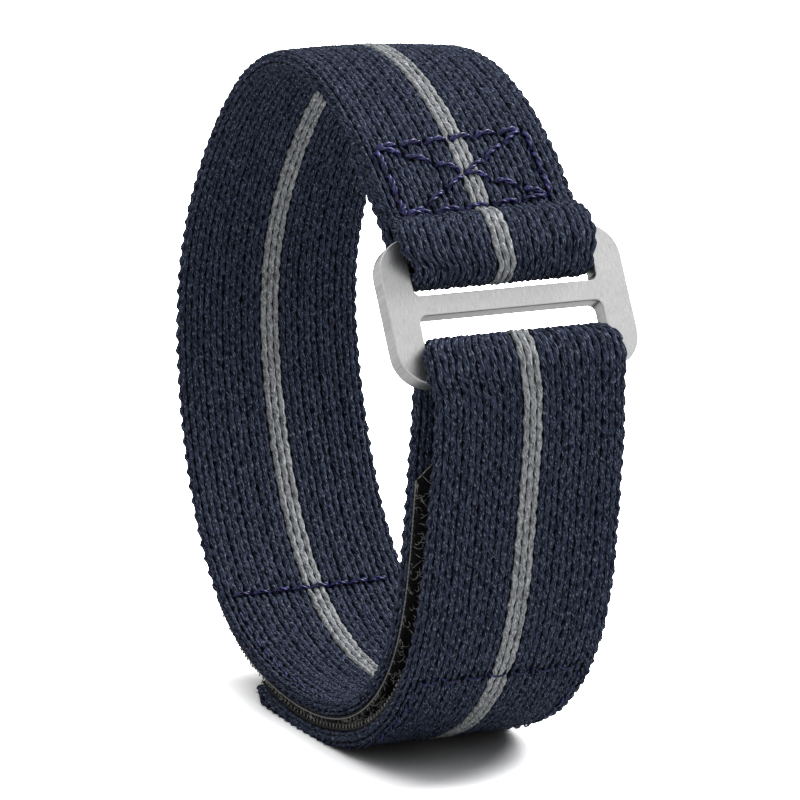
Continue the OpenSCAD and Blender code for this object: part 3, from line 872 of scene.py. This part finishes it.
def fibre_loops(count, wide, tall, finish):
    """Loops of fibre that stand in the tape at random places, each turned its own way."""
    paths = []
    for _ in range(count):
        s = fuzz.uniform(tape_foot + 0.5, tape_top - 0.6)
        half = float(tape_half(s)) - 0.25
        turn, width, height = fuzz.uniform(0, math.pi), fuzz.uniform(*wide), fuzz.uniform(*tall)
        t = np.linspace(0, math.pi, 6)
        lean = fuzz.normal(0, 0.2, 2)
        at_y = fuzz.uniform(-half, half) + width * math.sin(turn) * np.cos(t) + lean[1] * np.sin(t)
        at_s = s + width * math.cos(turn) * np.cos(t) + lean[0] * np.sin(t)
        n = half_t + loop_back_t + 0.1 + height * np.sin(t) ** 0.6
        paths.append((bent(at_s, at_y, n), finish))
    return paths


pile_count, pile_fibre_r = 2200, 0.032
short_loops = fibre_loops(pile_count, (0.25, 0.5), (0.2, 0.38), 0)
piece = laid_fibres("pile_loops", short_loops, pile_fibre_r, 4, [pile_black])
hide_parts("loop_tape_pile")
carry(piece, "bottom")

# The pale cord that is woven into each edge of the loop tape, of two plies that twist round each
# other, and the curls of pile that lie out over it. Both show as light lines beside the black pile.
selvedge_ply_r, selvedge_off, selvedge_turn_l = 0.045, 0.035, 0.9
selvedge_n = half_t + loop_back_t - 0.03
selvedge_paths = []
for side_of in (-1, 1):
    s = sweep(tape_foot, tape_top, 0.16)
    for first in (0, math.pi):
        turn = 2 * math.pi * s / selvedge_turn_l + first
        y = side_of * tape_half(s) + selvedge_off * np.cos(turn)
        selvedge_paths.append((bent(s, y, selvedge_n + selvedge_off * np.sin(turn)), 0))
y = sweep(-tape_half(tape_top), tape_half(tape_top), 0.16)
selvedge_paths.append((bent(tape_top + 0 * y, y, selvedge_n + 0 * y), 0))
pale_cord = tape_finish("pale_cord", grey(0.25), grey(0.55), grey(0.2), 4000.0, 0.6)
piece = laid_fibres("loop_tape_selvedge", selvedge_paths, selvedge_ply_r, 4, [pale_cord])
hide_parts("loop_tape_backing")
carry(piece, "bottom")

edge_curl_count, curl_r, grey_share = 420, 0.038, 0.3
curls = fibre_loops(pile_count, (0.2, 0.6), (0.34, 0.5), 1)
for _ in range(edge_curl_count):
    s, side_of = fuzz.uniform(tape_foot + 0.8, tape_top - 2.5), fuzz.choice([-1, 1])
    t = np.linspace(0, fuzz.uniform(2.4, 4.4), 8)
    width, tall, lean = fuzz.uniform(0.18, 0.45), fuzz.uniform(0.16, 0.3), fuzz.normal(0, 0.12)
    y = side_of * (tape_w / 2 - 0.1 + 0.06 * np.sin(t) + lean * 0.3)
    n = half_t + loop_back_t + 0.08 + tall * (1 - np.cos(t)) / 2 + 0.02 * t
    place = bent(s + width * np.sin(t + lean) + 0.06 * t, y, n)
    curls.append((place, int(fuzz.random() < grey_share)))
piece = laid_fibres("pile_curls", curls, curl_r, 4, [pile_black, pile_grey])
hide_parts("loop_tape_pile")
carry(piece, "bottom")

# The loop tape's thread: a thick row across each end of the tape and a thin one along each edge,
# sewn through the band. They show on the band's inner face, where the wrist goes.
for name, key, width, radius, sunk, node in (
        ("tape_end_thread", "tape_ends", 0.5, 0.14, 0.0, "loop_tape_end_stitching"),
        ("tape_edge_thread", "tape_edges", 0.22, 0.062, 0.1, "loop_tape_edge_stitching")):
    piece = laid_fibres(name, twisted_stitches(key, width, 0.06, sunk), radius, 6, [indigo_thread])
    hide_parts(node)
    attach(piece, "band")

# The hook tape: a thin black backing with rows of small nylon hooks, sewn to the inner face of the
# tail. It takes hold of the loop tape when the tail is pressed down.
hook_back_t, hook_r, hook_pitch, hook_columns, hook_row_y = 0.2, 0.11, 0.85, 14, 9.5
hook_reach = np.array([0, 0, 0.02, 0.09, 0.19, 0.25, 0.24])
hook_h = np.array([-0.03, 0.14, 0.26, 0.33, 0.33, 0.27, 0.2])
outer_row_y, outer_taller, hook_slant = 9.0, 1.25, 0.25
hooks_nylon = tape_finish("hooks_nylon", grey(0.008), grey(0.03), grey(0.1), 1500.0, 0.35)
# The hooks of the two outer rows are a lighter copy of the same black nylon, a painted highlight
# where light reaches them.
hooks_painted_highlight = tape_finish("hooks_painted_highlight", (0.13, 0.13, 0.125, 1), (0.45, 0.45, 0.43, 1),
                         grey(0.1), 1500.0, 0.35)
hook_spans = {"curve": (on_tail(-43), on_tail(-62)), "end": (on_tail(-62), strip_length - 0.5)}
hook_numbers = {"curve": (2, 3), "end": (3, 4)}
for stretch, (first, last) in hook_spans.items():
    piece = flat_tape("hook_tape_cloth_" + stretch, sweep(first, last, 0.4),
                      lambda s: tape_w / 2 + 0 * s, half_t - tape_sunk, half_t + hook_back_t,
                      0.6, backing_cloth)
    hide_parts(*[f"hook_tape_backing_{number}" for number in hook_numbers[stretch]])
    carry(piece, stretch)
    paths = []
    for s in np.arange(first + 0.6, last - 0.5, hook_pitch):
        for y in np.linspace(-hook_row_y, hook_row_y, hook_columns):
            outer = abs(y) > outer_row_y
            reach, tall = -np.sign(y) * hook_reach, hook_h * (outer_taller if outer else 1)
            place = bent(s + hook_slant * reach, y + reach, half_t + hook_back_t + tall)
            # Outer-row hooks take the painted highlight.
            paths.append((place, int(outer)))
    piece = laid_fibres("hooks_" + stretch, paths, hook_r, 4, [hooks_nylon, hooks_painted_highlight])
    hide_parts(*[f"hook_tape_hooks_{number}" for number in hook_numbers[stretch]])
    carry(piece, stretch)

# The hook tape's thread: thin indigo stitches round the tape. They show on the tail's outer face,
# where each is drawn down a little between the cords. Where the strap stands on them, none show.
hook_thread_w, hook_bow, hook_ply_r, pressed_z = 0.24, 0.16, 0.068, 0.2
for stretch, numbers in hook_numbers.items():
    stitches = twisted_stitches("hook_tape_" + stretch, hook_thread_w, hook_bow)
    paths = [path for path in stitches if path[0][:, 2].min() >= pressed_z * mm]
    piece = laid_fibres("hook_tape_thread_" + stretch, paths, hook_ply_r, 6, [indigo_thread])
    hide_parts(*[f"hook_tape_stitching_{number}" for number in numbers])
    carry(piece, stretch)

# The studio: a pale floor and a white surround. Soft light comes mostly from the upper right, with
# a little from the left and from the front; the floor keeps the object's shadow, and painted shade
# in its colour darkens it where the strap stands close over it.
world = bpy.data.worlds.new("studio")
bpy.context.scene.world = world
world.use_nodes = True
world.node_tree.nodes.clear()
shade = Shade(world.node_tree)
camera_ray, glossy_ray, through_ray = (
    shade.make("LightPath", {}, {}, out=out) for out in (0, 3, 6))
seen = shade.maths("MAXIMUM", camera_ray, through_ray)
surround = shade.make("Background", {}, {
    "Color": (1, 1, 1, 1), "Strength": seen * 0.55 + glossy_ray * 0.48 + 0.45})
shade.make("OutputWorld", {}, {"Surface": surround})

bm = bmesh.new()
bmesh.ops.create_grid(bm, x_segments=8, y_segments=8, size=6)
floor_mesh = bpy.data.meshes.new("floor")
bm.to_mesh(floor_mesh)
bm.free()
floor = bpy.data.objects.new("floor", floor_mesh)
bpy.context.scene.collection.objects.link(floor)
material, shade = new_finish("floor_paper")
# The floor's colour is painted darker where little open air is round it, a painted contact shadow
# under the strap; elsewhere it is bright enough to read white.
open_air = shade.make("AmbientOcclusion", {"samples": 12}, {"Distance": 0.024}, out=1)
paper_painted_shadow = shade.mixed(open_air ** 1.5, (0.2, 0.2, 0.206, 1), (5, 5, 5, 1))
lit = shade.make("BsdfDiffuse", {}, {"Color": paper_painted_shadow})
plain = shade.make("BsdfDiffuse", {}, {"Color": (0.65, 0.65, 0.65, 1)})
camera_ray = shade.make("LightPath", {}, {})
seen_paper = shade.make("MixShader", {}, {0: camera_ray, 1: plain, 2: lit})
shade.make("OutputMaterial", {}, {"Surface": seen_paper})
floor_mesh.materials.append(material)

for name, strength, spread, direction in (
        ("right", 3.5, 25, (0.0, -1.2, -1.0)),
        ("left", 0.3, 25, (0.0, 0.5, -1.0)),
        ("front", 0.22, 60, (-0.9, 0.45, -0.3))):
    lamp = bpy.data.objects.new(name, bpy.data.lights.new(name, "SUN"))
    lamp.data.energy, lamp.data.angle = strength, math.radians(spread)
    lamp.rotation_euler = Vector(direction).to_track_quat("-Z", "Y").to_euler()
    bpy.context.scene.collection.objects.link(lamp)

bpy.context.scene.view_settings.view_transform = "Standard"
